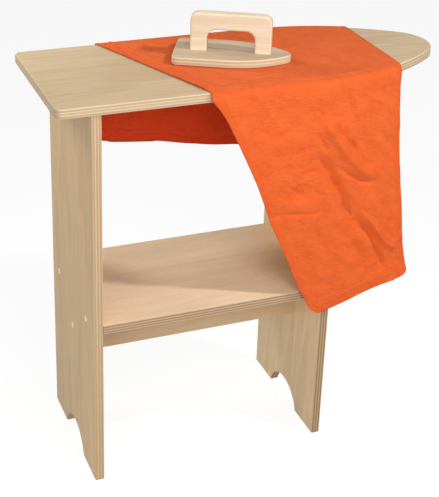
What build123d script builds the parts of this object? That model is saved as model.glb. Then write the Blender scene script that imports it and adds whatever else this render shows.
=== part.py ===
from build123d import *
import os
from math import cos, exp, hypot, radians, sin, sqrt

os.makedirs("parts", exist_ok=True)

# A play ironing board in birch plywood, with its toy iron and a cloth laid over it.
# X runs along the board towards its nose, Y to the back, Z up from the floor.
# The origin is on the floor under the middle of the board.

# Plywood and the ironing surface
ply = 15.0                      # board, end panels, shelf and stretcher
ironing_height = 622.0          # floor to the top of the board
board_length = 628.0
board_depth = 240.0
taper_lead = 47.0               # from the start of the taper to the right panel's outer face
board_nose_radius = 58.0
board_corner_radius = 10.0      # corners of the square end
board_edge_round = 2.5

# End panels and their arched feet
panel_inset = 2.0               # inside the board's edge, where the board is narrowest over them
end_overhang = 50.0             # board's square end to the left panel
bay_width = 352.0               # between the panels
arch_width = 100.0
arch_height = 36.0
panel_edge_round = 2.5

# Shelf and the upright stretcher under it
shelf_height = 275.0            # floor to the shelf's top
shelf_edge_round = 1.5
stretcher_height = 94.0

# Fastenings
screw_diameter = 4.0
screw_head_diameter = 8.0
screw_clearance = 0.1           # round a screw, on the radius
recess_width = 1.0              # cross recess in a screw's head
recess_depth = 1.2
shelf_screw_bite = 32.0         # length in the shelf or stretcher
cleat_screw_bite = 9.0          # length in the board or panel
plug_diameter = 10.0
plug_length = 5.0
plug_proud = 0.8                # how far a plug's domed end stands out
plug_clearance = 0.05
plug_inset = 40.0               # shelf screws, in from the panels' edges
dowel_diameter = 8.0
dowel_bite = 18.0               # length in the stretcher
dowel_clearance = 0.05
dowel_spacing = 120.0
dowel_cover = 5.0               # shelf left above a dowel's end

# Battens that hold the board on the panels
cleat_side = 20.0
cleat_length = 140.0
cleat_edge_round = 1.5
cleat_board_screw_inset = 20.0  # in from the batten's ends
cleat_leg_screw_inset = 48.0

# Cloth
cloth_wall = 1.5
cloth_gap = 0.3                 # between the cloth and what it lies on
cloth_bend_share = 0.8          # rounding where it turns over the board's edge, of its wall
cloth_lip = 0.3                 # flat part past the top of a drape
cloth_left_back = -193.0        # where the left edge crosses the board's back edge
cloth_left_front = -99.0        # where it crosses the front edge
cloth_right = 217.0             # right edge on the board
drape_reach = 14.0              # outermost fold, beyond the board's edge
edge_bow = 10.0                 # a drape's side edges, off the straight line
hem_corner_radius = 14.0
hem_corner_steps = 3
front_hem_left = 82.0           # place along the board of the front hem's ends
front_hem_right = 247.0
front_drop_left = 384.0         # and how far it hangs there
front_drop_right = 343.0
back_hem_left = -240.0
back_hem_right = 222.0
back_drop_left = 153.0
back_drop_right = 225.0
drape_samples = 17              # points across a drape, an odd number
drape_row_shares = (0.04, 0.12, 0.24, 0.38, 0.52, 0.66, 0.8)
near_share = 0.4                # of the reach, where no fold is
near_rise_share = 0.08          # of the drop, where the cloth has left the board's edge
# one row a fold: where it starts across and down, where it meets the hem, half its width, its height
front_fold_shares = (
    (0.25, 0.12, 0.28, 0.17, 0.26),
    (0.45, 0.30, 0.61, 0.13, -0.40),
    (0.74, 0.36, 0.86, 0.11, 0.60),
)
back_fold_shares = (
    (0.14, 0.20, 0.14, 0.07, -0.30),
    (0.31, 0.12, 0.31, 0.08, 0.60),
    (0.53, 0.20, 0.53, 0.08, -0.30),
    (0.66, 0.12, 0.67, 0.08, 0.45),
    (0.80, 0.20, 0.80, 0.06, -0.28),
    (0.93, 0.12, 0.92, 0.07, 0.45),
)
# one row a height: how far down, then the bow of the left and right edges
front_bow_shares = (
    (0.0, 0.0, 0.0), (0.04, 0.6, -0.15), (0.12, 1.05, -0.4), (0.24, 1.15, -0.6), (0.38, 1.0, -0.75),
    (0.52, 0.45, -0.85), (0.66, 0.3, -0.95), (0.8, -0.1, -0.9), (1.0, 0.0, 0.0),
)
back_bow_shares = ((0.0, 0.0, 0.0), (0.5, 0.4, -0.4), (1.0, 0.0, 0.0))

# Toy iron
iron_x = -91.0                  # middle of the sole's rear edge
iron_y = 38.0
iron_turn = -27.0               # degrees from the board's length
sole_length = 172.0
sole_width = 93.0
sole_thickness = 12.0
sole_straight = 75.0
sole_tip_radius = 14.0
sole_corner_radius = 9.0
sole_edge_round = 2.0
handle_setback = 23.0           # rear edge of the sole to the handle
handle_length = 120.0
handle_height = 57.0
handle_thickness = 18.0
handle_post = 25.0
handle_opening_height = 32.0
handle_corner_radius = 12.0
handle_opening_radius = 13.0
handle_edge_round = 3.0
handle_screw_bite = 22.5        # length in the handle's posts
screw_sunk = 0.5                # handle screws' heads below the sole's face


def side_arc(length, depth, straight, tip_radius):
    """Length along the board and radius of a tapering side's arc."""
    half = depth / 2
    reach = length - tip_radius - straight
    return reach, (reach ** 2 + half ** 2 - tip_radius ** 2) / (2 * (half - tip_radius))


def edge_reach(x, grow):
    """Half depth of the board at x, grown outwards."""
    past = x - board_left - board_straight
    if past <= 0:
        return half_depth + grow
    reach, radius = side_arc(board_length, board_depth, board_straight, board_nose_radius)
    return half_depth - radius + sqrt((radius + grow) ** 2 - past ** 2)


# Places that follow from the sizes
half_depth = board_depth / 2
board_left = -board_length / 2
board_under = ironing_height - ply
left_outer = board_left + end_overhang
left_inner = left_outer + ply
right_inner = left_inner + bay_width
right_outer = right_inner + ply
board_straight = right_outer - taper_lead - board_left
panel_half = edge_reach(right_outer, 0) - panel_inset
bay_middle = (left_inner + right_inner) / 2
shelf_middle_height = shelf_height - ply / 2
shelf_under = shelf_height - ply
stretcher_middle_height = shelf_under - stretcher_height / 2
screw_radius = screw_diameter / 2
head_radius = screw_head_diameter / 2
shelf_screw_length = ply - plug_length + shelf_screw_bite
cleat_screw_length = cleat_side + cleat_screw_bite
handle_screw_length = sole_thickness - screw_sunk + handle_screw_bite
dowel_length = ply - dowel_cover + dowel_bite
plug_place = panel_half - plug_inset
cloth_under = ironing_height + cloth_gap
cloth_top = cloth_under + cloth_wall
sole_under = cloth_top + cloth_gap
overrun = ply                   # cutters run this far past a face
up = (0, 0, 1)

# one entry a side: the panel's outer face, its inner face and the way inwards
sides = {"left": (left_outer, left_inner, 1), "right": (right_outer, right_inner, -1)}


def nosed_face(length, depth, straight, tip_radius, grow):
    """Flat outline from x = 0 to length: parallel sides, then arcs that meet in a round tip."""
    half = depth / 2
    reach, side_radius = side_arc(length, depth, straight, tip_radius)
    centre_y = half - side_radius
    span = side_radius - tip_radius
    end_across = reach / span
    end_up = -centre_y / span

    def on_side(part_across, part_up):
        scale = (side_radius + grow) / hypot(part_across, part_up)
        return (straight + part_across * scale, centre_y + part_up * scale)

    start = (straight, half + grow)
    middle = on_side(end_across / 2, (1 + end_up) / 2)
    end = on_side(end_across, end_up)
    rear = -grow

    def mirrored(point):
        return (point[0], -point[1])

    edges = [
        Line((rear, half + grow), start),
        ThreePointArc(start, middle, end),
        ThreePointArc(end, (length + grow, 0), mirrored(end)),
        ThreePointArc(mirrored(end), mirrored(middle), mirrored(start)),
        Line(mirrored(start), (rear, -half - grow)),
        Line((rear, -half - grow), (rear, half + grow)),
    ]
    return Face(Wire(edges))


def upright_edges(solid, x):
    """The short vertical edges at one end of an extruded outline."""
    return [e for e in solid.edges().filter_by(Axis.Z) if abs(e.center().X - x) < board_edge_round]


def rod(radius, start, direction, length):
    return Plane(origin=start, z_dir=direction) * Cylinder(
        radius, length, align=(Align.CENTER, Align.CENTER, Align.MIN)
    )


def screw_solid(head_point, direction, length, grow=0, sunk=0):
    """A countersunk wood screw, or the hole for it when it is grown."""
    head_height = head_radius - screw_radius
    tip_height = screw_diameter
    shank = length - head_height - tip_height
    low = (Align.CENTER, Align.CENTER, Align.MIN)
    body = Cone(head_radius + grow, screw_radius + grow, head_height, align=low)
    body += Pos(0, 0, head_height) * Cylinder(screw_radius + grow, shank, align=low)
    body += Pos(0, 0, head_height + shank) * Cone(screw_radius + grow, grow, tip_height, align=low)
    if grow:
        mouth = sunk + screw_clearance
        body += Pos(0, 0, -mouth) * Cylinder(head_radius + grow, mouth, align=low)
    else:
        arm = head_radius + screw_radius
        body -= Box(arm, recess_width, recess_depth, align=low)
        body -= Box(recess_width, arm, recess_depth, align=low)
    return Plane(origin=head_point, z_dir=direction) * body


def panel_screw_points(side):
    """Head points of the shelf screws and the stretcher screw, at the bottom of the plug bores."""
    outer, inner, inward = sides[side]
    x = outer + inward * plug_length
    shelf_points = [(x, y, shelf_middle_height) for y in (-plug_place, plug_place)]
    return shelf_points, [(x, 0, stretcher_middle_height)]


def cleat_screw_points(side):
    """Head points of the screws into the board and into the panel."""
    outer, inner, inward = sides[side]
    middle_x = inner + inward * cleat_side / 2
    face_x = inner + inward * cleat_side
    board_y = cleat_length / 2 - cleat_board_screw_inset
    leg_y = cleat_length / 2 - cleat_leg_screw_inset
    up_points = [(middle_x, y, board_under - cleat_side) for y in (-board_y, board_y)]
    side_points = [(face_x, y, board_under - cleat_side / 2) for y in (-leg_y, leg_y)]
    return up_points, side_points


def make_board():
    outline = nosed_face(board_length, board_depth, board_straight, board_nose_radius, 0)
    board = Pos(board_left, 0, board_under) * extrude(outline, ply, up)
    board = fillet(upright_edges(board, board_left), board_corner_radius)
    rims = board.faces().sort_by(Axis.Z)[-1].edges() + board.faces().sort_by(Axis.Z)[0].edges()
    board = fillet(rims, min(board_edge_round, ply / 3))
    for side in sides:
        for point in cleat_screw_points(side)[0]:
            board -= screw_solid(point, up, cleat_screw_length, screw_clearance)
    return board


def make_panel(side):
    outer, inner, inward = sides[side]
    arch_radius = (arch_width ** 2 / 4 + arch_height ** 2) / (2 * arch_height)
    panel = Pos((outer + inner) / 2, 0, board_under / 2) * Box(ply, 2 * panel_half, board_under)
    panel -= rod(arch_radius, (outer - inward * overrun, 0, arch_height - arch_radius), (inward, 0, 0), 3 * ply)
    top_height = board_under - panel_edge_round
    soft = [e for e in panel.edges() if e.center().Z < top_height and e.length > 2 * ply]
    panel = fillet(soft, min(panel_edge_round, ply / 3))
    shelf_points, stretcher_points = panel_screw_points(side)
    for point in shelf_points + stretcher_points:
        panel -= screw_solid(point, (inward, 0, 0), shelf_screw_length, screw_clearance)
        mouth = (outer - inward * overrun, point[1], point[2])
        panel -= rod(plug_diameter / 2, mouth, (inward, 0, 0), overrun + plug_length)
    for point in cleat_screw_points(side)[1]:
        panel -= screw_solid(point, (-inward, 0, 0), cleat_screw_length, screw_clearance)
    return panel


def make_plugs(side):
    outer, inner, inward = sides[side]
    shelf_points, stretcher_points = panel_screw_points(side)
    plugs = []
    for point in shelf_points + stretcher_points:
        plug = rod(plug_diameter / 2 - plug_clearance, point, (-inward, 0, 0), plug_length + plug_proud)
        face = plug.faces().sort_by(Axis.X)[0 if inward > 0 else -1]
        plugs.append(fillet(face.edges(), plug_proud))
    return plugs


def dowel_points():
    return [(bay_middle + step * dowel_spacing, 0, shelf_height - dowel_cover) for step in (-1, 0, 1)]


def make_shelf():
    shelf = Pos(bay_middle, 0, shelf_middle_height) * Box(bay_width, 2 * panel_half, ply)
    shelf = fillet(shelf.edges().filter_by(Axis.X), min(shelf_edge_round, ply / 3))
    for side, (outer, inner, inward) in sides.items():
        for point in panel_screw_points(side)[0]:
            shelf -= screw_solid(point, (inward, 0, 0), shelf_screw_length, screw_clearance)
    for point in dowel_points():
        shelf -= rod(dowel_diameter / 2 + dowel_clearance, point, (0, 0, -1), dowel_length)
    return shelf


def make_stretcher():
    stretcher = Pos(bay_middle, 0, stretcher_middle_height) * Box(bay_width, ply, stretcher_height)
    lower = [e for e in stretcher.edges().filter_by(Axis.X) if e.center().Z < stretcher_middle_height]
    stretcher = fillet(lower, min(shelf_edge_round, ply / 3))
    for side, (outer, inner, inward) in sides.items():
        for point in panel_screw_points(side)[1]:
            stretcher -= screw_solid(point, (inward, 0, 0), shelf_screw_length, screw_clearance)
    for point in dowel_points():
        stretcher -= rod(dowel_diameter / 2 + dowel_clearance, point, (0, 0, -1), dowel_length)
    return stretcher


def make_dowels():
    dowels = []
    for point in dowel_points():
        dowel = rod(dowel_diameter / 2, point, (0, 0, -1), dowel_length)
        dowels.append(chamfer(dowel.edges().filter_by(GeomType.CIRCLE), dowel_diameter / 8))
    return dowels


def make_cleat(side):
    outer, inner, inward = sides[side]
    middle_x = inner + inward * cleat_side / 2
    cleat = Pos(middle_x, 0, board_under - cleat_side / 2) * Box(cleat_side, cleat_length, cleat_side)
    free = [
        e for e in cleat.edges().filter_by(Axis.Y)
        if e.center().Z < board_under and abs(e.center().X - inner) > cleat_side / 2
    ]
    cleat = fillet(free, min(cleat_edge_round, cleat_side / 3))
    up_points, side_points = cleat_screw_points(side)
    for point in up_points:
        cleat -= screw_solid(point, up, cleat_screw_length, screw_clearance)
    for point in side_points:
        cleat -= screw_solid(point, (-inward, 0, 0), cleat_screw_length, screw_clearance)
    return cleat


def iron_place(height):
    return Location((iron_x, iron_y, height), (0, 0, iron_turn))


def handle_screw_places():
    first = handle_setback + handle_post / 2
    return [first, handle_setback + handle_length - handle_post / 2]


def handle_screws(grow):
    return [
        screw_solid((along, 0, screw_sunk), up, handle_screw_length, grow, screw_sunk)
        for along in handle_screw_places()
    ]


def make_sole():
    outline = nosed_face(sole_length, sole_width, sole_straight, sole_tip_radius, 0)
    sole = extrude(outline, sole_thickness, up)
    sole = fillet(upright_edges(sole, 0), sole_corner_radius)
    rims = sole.faces().sort_by(Axis.Z)[-1].edges() + sole.faces().sort_by(Axis.Z)[0].edges()
    sole = fillet(rims, min(sole_edge_round, sole_thickness / 3))
    for cutter in handle_screws(screw_clearance):
        sole -= cutter
    return iron_place(sole_under) * sole


def make_handle():
    middle = handle_setback + handle_length / 2
    low = (Align.CENTER, Align.CENTER, Align.MIN)
    handle = Pos(middle, 0, sole_thickness) * Box(handle_length, handle_thickness, handle_height, align=low)
    top = sole_thickness + handle_height
    corners = [e for e in handle.edges().filter_by(Axis.Y) if e.center().Z > top - handle_edge_round]
    handle = fillet(corners, handle_corner_radius)
    opening_width = handle_length - 2 * handle_post
    opening = Pos(middle, 0, sole_thickness - overrun) * Box(
        opening_width, 2 * handle_thickness, overrun + handle_opening_height, align=low
    )
    upper = [e for e in opening.edges().filter_by(Axis.Y) if e.center().Z > sole_thickness]
    handle -= fillet(upper, handle_opening_radius)
    soft = [e for e in handle.edges() if e.center().Z > sole_thickness and not on_y_line(e)]
    handle = fillet(soft, min(handle_edge_round, handle_thickness / 3))
    for cutter in handle_screws(screw_clearance):
        handle -= cutter
    return iron_place(sole_under) * handle


def on_y_line(edge):
    """True for the short edges that run through the handle's thickness."""
    return edge.geom_type == GeomType.LINE and abs((edge @ 1).Y - (edge @ 0).Y) > handle_thickness / 2


def strip(point_pairs):
    """Closed flat outline of a hanging strip: arcs along its outside, and back along its inside."""
    outside = [pair[1] for pair in point_pairs]
    inside = [pair[0] for pair in point_pairs][::-1]
    edges = []
    for line in (outside, inside):
        for i in range(0, len(line) - 2, 2):
            edges.append(arc_or_line(*line[i:i + 3]))
    edges.append(Line(outside[-1], inside[0]))
    edges.append(Line(inside[-1], outside[0]))
    return Wire(edges)


def arc_or_line(start, middle, end):
    first = Vector(*middle) - Vector(*start)
    second = Vector(*end) - Vector(*middle)
    bend = first.cross(second).length / (first.length * second.length)
    return Line(start, end) if bend < cloth_wall / board_length else ThreePointArc(start, middle, end)


def on_table(table, down, column):
    """A column's value at a height down the drape, straight between the table's rows."""
    for low, high in zip(table, table[1:]):
        if down <= high[0]:
            along = (down - low[0]) / (high[0] - low[0])
            return low[column] + along * (high[column] - low[column])
    return table[-1][column]


def fold_level(folds, across, down):
    """Height of the folds at one place: each runs from its start to the hem and grows on its way."""
    level = 0
    for start_across, start_down, hem_across, half_width, height in folds:
        along = max(0, (down - start_down) / (1 - start_down))
        middle = start_across + along * (hem_across - start_across)
        level += height * along * exp(-((across - middle) / half_width) ** 2)
    return level


def drape(facing, top, hem, folds, bows):
    """Hanging part of the cloth, from the board's edge down to its hem with rounded corners."""
    (top_left, top_right), (hem_left, hem_right, left_drop, right_drop) = top, hem
    steps = [i / (drape_samples - 1) for i in range(drape_samples)]
    highest = max(fold_level(folds, across, 1) for across in steps)
    room = drape_reach - cloth_gap - cloth_wall
    corner = 2 * hem_corner_radius / (left_drop + right_drop)
    turns = [radians(90) * step / hem_corner_steps for step in range(hem_corner_steps + 1)]
    rows = [(0, 0)] + [(down, 0) for down in drape_row_shares]
    rows += [(1 - corner * (1 - sin(a)), hem_corner_radius * (1 - cos(a))) for a in turns]
    sections = []
    for down, inset in rows:
        left = top_left + down * (hem_left - top_left) + inset + edge_bow * on_table(bows, down, 1)
        right = top_right + down * (hem_right - top_right) - inset + edge_bow * on_table(bows, down, 2)
        pairs = []
        for across in steps:
            x = left + across * (right - left)
            z = cloth_under - down * (left_drop + across * (right_drop - left_drop))
            near = near_share * min(1, down / near_rise_share)
            level = fold_level(folds, across, down) / highest
            fold = room * (near + (1 - near_share) * level)
            inside = edge_reach(x, cloth_gap) * (1 - down) + (half_depth + cloth_gap) * down + fold
            pairs.append(((x, facing * inside, z), (x, facing * (inside + cloth_wall), z)))
        sections.append(strip(pairs))
    return Solid.make_loft(sections, True)


def make_cloth():
    grow = cloth_gap + cloth_wall + cloth_lip
    covered = nosed_face(board_length, board_depth, board_straight, board_nose_radius, grow)
    flat = Pos(board_left, 0, cloth_under) * extrude(covered, cloth_wall, up)
    slope = (cloth_left_front - cloth_left_back) / board_depth
    beyond = board_depth
    left_middle = (cloth_left_front + cloth_left_back) / 2 - cloth_lip
    right = cloth_right + cloth_lip
    cut_points = [
        (left_middle - slope * beyond, beyond),
        (right, beyond),
        (right, -beyond),
        (left_middle + slope * beyond, -beyond),
    ]
    outline = Face(Wire([Line(a, b) for a, b in zip(cut_points, cut_points[1:] + cut_points[:1])]))
    flat = flat & (Pos(0, 0, cloth_under) * extrude(outline, cloth_wall, up))
    bends = [e for e in flat.faces().sort_by(Axis.Z)[-1].edges() if abs(e.center().Y) > board_nose_radius]
    flat = fillet(bends, cloth_wall * cloth_bend_share)
    front_top = (cloth_left_front, cloth_right)
    back_top = (cloth_left_back, cloth_right)
    front_hem = (front_hem_left, front_hem_right, front_drop_left, front_drop_right)
    back_hem = (back_hem_left, back_hem_right, back_drop_left, back_drop_right)
    flat = flat + drape(-1, front_top, front_hem, front_fold_shares, front_bow_shares)
    return flat + drape(1, back_top, back_hem, back_fold_shares, back_bow_shares)


def write(node, shape):
    solids = shape if isinstance(shape, list) else [shape]
    pieces = [piece for solid in solids for piece in solid.solids()]
    whole = pieces[0] if len(pieces) == 1 else Compound(pieces)
    export_step(whole, "parts/" + node + ".step")
    print(node, len(pieces), "solid", round(sum(p.volume for p in pieces) / 1000, 1), "cm3")


write("ironing_board_top", make_board())
write("shelf", make_shelf())
write("shelf_stretcher", make_stretcher())
write("stretcher_dowels", make_dowels())
for name, (outer_face, inner_face, way_in) in sides.items():
    shelf_heads, stretcher_heads = panel_screw_points(name)
    board_heads, leg_heads = cleat_screw_points(name)
    write(name + "_leg_panel", make_panel(name))
    write(name + "_leg_plugs", make_plugs(name))
    write(name + "_shelf_screws", [screw_solid(p, (way_in, 0, 0), shelf_screw_length) for p in shelf_heads])
    write(name + "_stretcher_screw", [screw_solid(p, (way_in, 0, 0), shelf_screw_length) for p in stretcher_heads])
    write(name + "_top_cleat", make_cleat(name))
    write(name + "_cleat_board_screws", [screw_solid(p, up, cleat_screw_length) for p in board_heads])
    write(name + "_cleat_leg_screws", [screw_solid(p, (-way_in, 0, 0), cleat_screw_length) for p in leg_heads])
write("iron_soleplate", make_sole())
write("iron_handle", make_handle())
write("iron_handle_screws", [iron_place(sole_under) * screw for screw in handle_screws(0)])
write("ironing_cloth", make_cloth())
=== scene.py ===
import math
import bpy
import numpy as np
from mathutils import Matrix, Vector, kdtree


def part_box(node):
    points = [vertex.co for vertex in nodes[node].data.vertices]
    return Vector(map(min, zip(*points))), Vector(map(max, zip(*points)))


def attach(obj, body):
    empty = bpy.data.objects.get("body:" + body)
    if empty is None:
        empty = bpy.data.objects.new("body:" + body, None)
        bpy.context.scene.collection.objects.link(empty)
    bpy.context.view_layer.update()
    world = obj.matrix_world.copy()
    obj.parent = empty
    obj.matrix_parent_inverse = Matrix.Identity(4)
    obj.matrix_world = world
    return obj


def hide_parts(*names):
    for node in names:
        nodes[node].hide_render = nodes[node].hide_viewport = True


# A play ironing board in birch plywood with its toy iron and an orange cloth.
# Sizes in the dictionaries are millimetres unless a note says otherwise.

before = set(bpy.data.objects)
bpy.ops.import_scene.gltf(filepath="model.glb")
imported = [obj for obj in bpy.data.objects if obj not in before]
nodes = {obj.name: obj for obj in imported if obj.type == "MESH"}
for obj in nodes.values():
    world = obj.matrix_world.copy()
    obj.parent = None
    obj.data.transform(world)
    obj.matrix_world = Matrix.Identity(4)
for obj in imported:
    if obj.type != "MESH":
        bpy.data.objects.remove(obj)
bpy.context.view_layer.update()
mm = 0.001
print("stage 1: frame loaded,", len(nodes), "solids")


# small helpers for node trees

def srgb(red, green, blue):
    def linear(value):
        value /= 255
        return value / 12.92 if value <= 0.04045 else ((value + 0.055) / 1.055) ** 2.4
    return (linear(red), linear(green), linear(blue), 1.0)


white = (1.0, 1.0, 1.0, 1.0)


def feed(tree, node, inputs):
    # an input takes a link from a socket, or a plain value
    for name, value in inputs.items():
        if isinstance(value, bpy.types.NodeSocket):
            tree.links.new(value, node.inputs[name])
        else:
            node.inputs[name].default_value = value


def put(tree, kind, inputs=None, **settings):
    node = tree.nodes.new(kind)
    for name, value in settings.items():
        setattr(node, name, value)
    feed(tree, node, inputs or {})
    return node


def calc(tree, operation, *values, clamp=False):
    inputs = dict(enumerate(values))
    return put(tree, "ShaderNodeMath", inputs, operation=operation, use_clamp=clamp).outputs[0]


def vectorCalc(tree, operation, *values):
    node = put(tree, "ShaderNodeVectorMath", dict(enumerate(values)), operation=operation)
    return node.outputs["Value" if operation == "DOT_PRODUCT" else "Vector"]


def combine(tree, x, y, z):
    return put(tree, "ShaderNodeCombineXYZ", {"X": x, "Y": y, "Z": z}).outputs[0]


def weighed(tree, masks, weights, total=0.0):
    # the sum of some masks, each times its weight
    for name, weight in weights.items():
        total = calc(tree, "MULTIPLY_ADD", masks[name], weight, total)
    return total


def mixColour(tree, factor, first, second, blend="MIX"):
    inputs = {0: factor, 6: first, 7: second}
    return put(tree, "ShaderNodeMix", inputs, data_type="RGBA", blend_type=blend).outputs[2]


def tint(tree, colour, mask, share, towards):
    return mixColour(tree, calc(tree, "MULTIPLY", mask, share), colour, towards)


def ramp(tree, value, low, high, toLow=0.0, toHigh=1.0, smooth=True):
    inputs = {"Value": value, "From Min": low, "From Max": high, "To Min": toLow, "To Max": toHigh}
    kind = "SMOOTHSTEP" if smooth else "LINEAR"
    return put(tree, "ShaderNodeMapRange", inputs, interpolation_type=kind).outputs["Result"]


def noiseAt(tree, place, scale, detail=2.0, distortion=0.0):
    inputs = {"Vector": vectorCalc(tree, "MULTIPLY", place, scale), "Scale": 1.0, "Detail": detail,
              "Roughness": 0.5, "Distortion": distortion}
    return put(tree, "ShaderNodeTexNoise", inputs).outputs["Fac"]


def bumpFrom(tree, height, strength, distance):
    inputs = {"Height": height, "Strength": strength, "Distance": distance * mm}
    return put(tree, "ShaderNodeBump", inputs).outputs["Normal"]


def newGroup(name, inputs, outputs):
    group = bpy.data.node_groups.new(name, "ShaderNodeTree")
    for label, kind, value in inputs:
        socket = group.interface.new_socket(label, in_out="INPUT", socket_type="NodeSocket" + kind)
        if value is not None:
            socket.default_value = value
    for label in outputs:
        group.interface.new_socket(label, in_out="OUTPUT", socket_type="NodeSocketFloat")
    given = group.nodes.new("NodeGroupInput").outputs
    end = group.nodes.new("NodeGroupOutput")
    return group, given, end


def useGroup(tree, group, inputs):
    return put(tree, "ShaderNodeGroup", inputs, node_tree=group).outputs


def emptyTree(owner):
    owner.use_nodes = True
    owner.node_tree.nodes.clear()
    return owner.node_tree


def newMaterial(name):
    material = bpy.data.materials.new(name)
    tree = emptyTree(material)
    surface = put(tree, "ShaderNodeBsdfPrincipled")
    put(tree, "ShaderNodeOutputMaterial", {"Surface": surface.outputs[0]})
    return material, tree, surface


def setMaterial(node, material):
    slots = nodes[node].data.materials
    slots.clear()
    slots.append(material)


# birch: figure of the wood, and the plies under it

birchGrain = {                # scales are features a metre, along the grain and twice across it
    "seedShift": (0.37, 1.31, 0.73),        # metres that the figure moves from seed to seed
    "waves": {"scale": (2.6, 17.0, 17.0), "detail": 3.0, "distortion": 0.7},
    "rings": 34.0,                          # radians of their sine over the whole wave height
    "figure": {"waves": 0.7, "rings": 0.10}, "figureStart": 0.15,
    "streaks": {"scale": (7.0, 190.0, 190.0)},
    "fibres": {"scale": (26.0, 820.0, 820.0)},
    "flecks": {"scale": (120.0, 1100.0, 1100.0), "detail": 1.0},
    "fleckRange": (0.66, 0.76),
    "glueRange": (0.02, 0.13),              # shares of a ply over which a glue line fades out
}


def makeBirchFigure(look=birchGrain):
    inputs = (("Place", "Vector", None), ("Seed", "Float", 0.0))
    outputs = ("Figure", "Streaks", "Fibres", "Flecks")
    group, given, end = newGroup("birchFigure", inputs, outputs)
    place = vectorCalc(group, "MULTIPLY_ADD", given["Seed"], look["seedShift"], given["Place"])
    # slow waves of the peeled veneer, drawn out along the grain
    waves = noiseAt(group, place, **look["waves"])
    rings = calc(group, "SINE", calc(group, "MULTIPLY", waves, look["rings"]))
    figure = weighed(group, {"waves": waves, "rings": rings}, look["figure"])
    flecks = noiseAt(group, place, **look["flecks"])
    feed(group, end, {
        "Figure": calc(group, "ADD", figure, look["figureStart"], clamp=True),
        "Streaks": noiseAt(group, place, **look["streaks"]),
        "Fibres": noiseAt(group, place, **look["fibres"]),
        "Flecks": ramp(group, flecks, *look["fleckRange"]),
    })
    return group


def makePlyLayers(look=birchGrain):
    inputs = (("Depth", "Float", 0.0), ("Plies", "Float", 7.0), ("Seed", "Float", 0.0))
    group, given, end = newGroup("plyLayers", inputs, ("Crossed", "Glue", "Tone"))
    level = calc(group, "MULTIPLY", given["Depth"], given["Plies"])
    index = calc(group, "FLOOR", level)
    within = calc(group, "FRACT", level)
    toLine = calc(group, "MINIMUM", within, calc(group, "SUBTRACT", 1.0, within))
    line = ramp(group, toLine, *look["glueRange"], 1.0, 0.0)
    # the two faces of the board have no glue on them
    lowFace = calc(group, "LESS_THAN", level, 0.5)
    highFace = calc(group, "GREATER_THAN", level, calc(group, "SUBTRACT", given["Plies"], 0.5))
    inside = calc(group, "SUBTRACT", 1.0, calc(group, "ADD", lowFace, highFace, clamp=True))
    tone = put(group, "ShaderNodeTexWhiteNoise", {"W": calc(group, "ADD", index, given["Seed"])},
               noise_dimensions="1D").outputs["Value"]
    feed(group, end, {
        "Crossed": calc(group, "FLOORED_MODULO", index, 2.0),
        "Glue": calc(group, "MULTIPLY", line, inside),
        "Tone": tone,
    })
    return group


birchFigure = makeBirchFigure()
plyLayers = makePlyLayers()


def boardPlace(tree, node, grain, through):
    # place along, across and through a board, and how squarely its surface faces each way
    texture = put(tree, "ShaderNodeTexCoord").outputs
    offset = vectorCalc(tree, "SUBTRACT", texture["Object"], tuple(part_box(node)[0]))
    ways = [tuple(way) for way in (grain, through.cross(grain), through)]
    place = [vectorCalc(tree, "DOT_PRODUCT", offset, way) for way in ways]
    facing = [vectorCalc(tree, "DOT_PRODUCT", texture["Normal"], way) for way in ways]
    return place, [calc(tree, "ABSOLUTE", value) for value in facing]


birchPlywood = {
    "figureTone": srgb(222, 214, 205),      # multiplies a face where its figure is strongest
    "longGrain": srgb(232, 208, 174),
    "endGrain": srgb(176, 143, 106),
    "darkPly": (0.86, 0.83, 0.78, 1.0),     # multiplies the darkest plies of an edge
    "glue": srgb(120, 88, 58),
    "fleck": srgb(170, 137, 103),
    "shade": {"Figure": 0.70, "Streaks": 0.40, "Fibres": 0.50},
    "shadeRange": (0.45, 1.25),
    "plyShare": 0.8, "glueShare": 0.8, "streakShare": 0.35, "fleckShare": 0.4,
    "endRange": (0.35, 0.9),                # squareness of the cut, from side grain to end grain
    "faceRange": (0.80, 0.97),              # squareness to the face, from a sawn edge to a face
    "depthRange": (0.002, 0.998),           # keeps the faces inside the outer plies
    "roughness": 0.42, "roughening": {"streaks": 0.12, "sawn": 0.10},
    "specular": 0.35,
    "bump": 0.10, "bumpDepth": 0.6, "relief": {"fibres": 1.0, "flecks": -0.6, "glue": -0.5},
}


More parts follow.
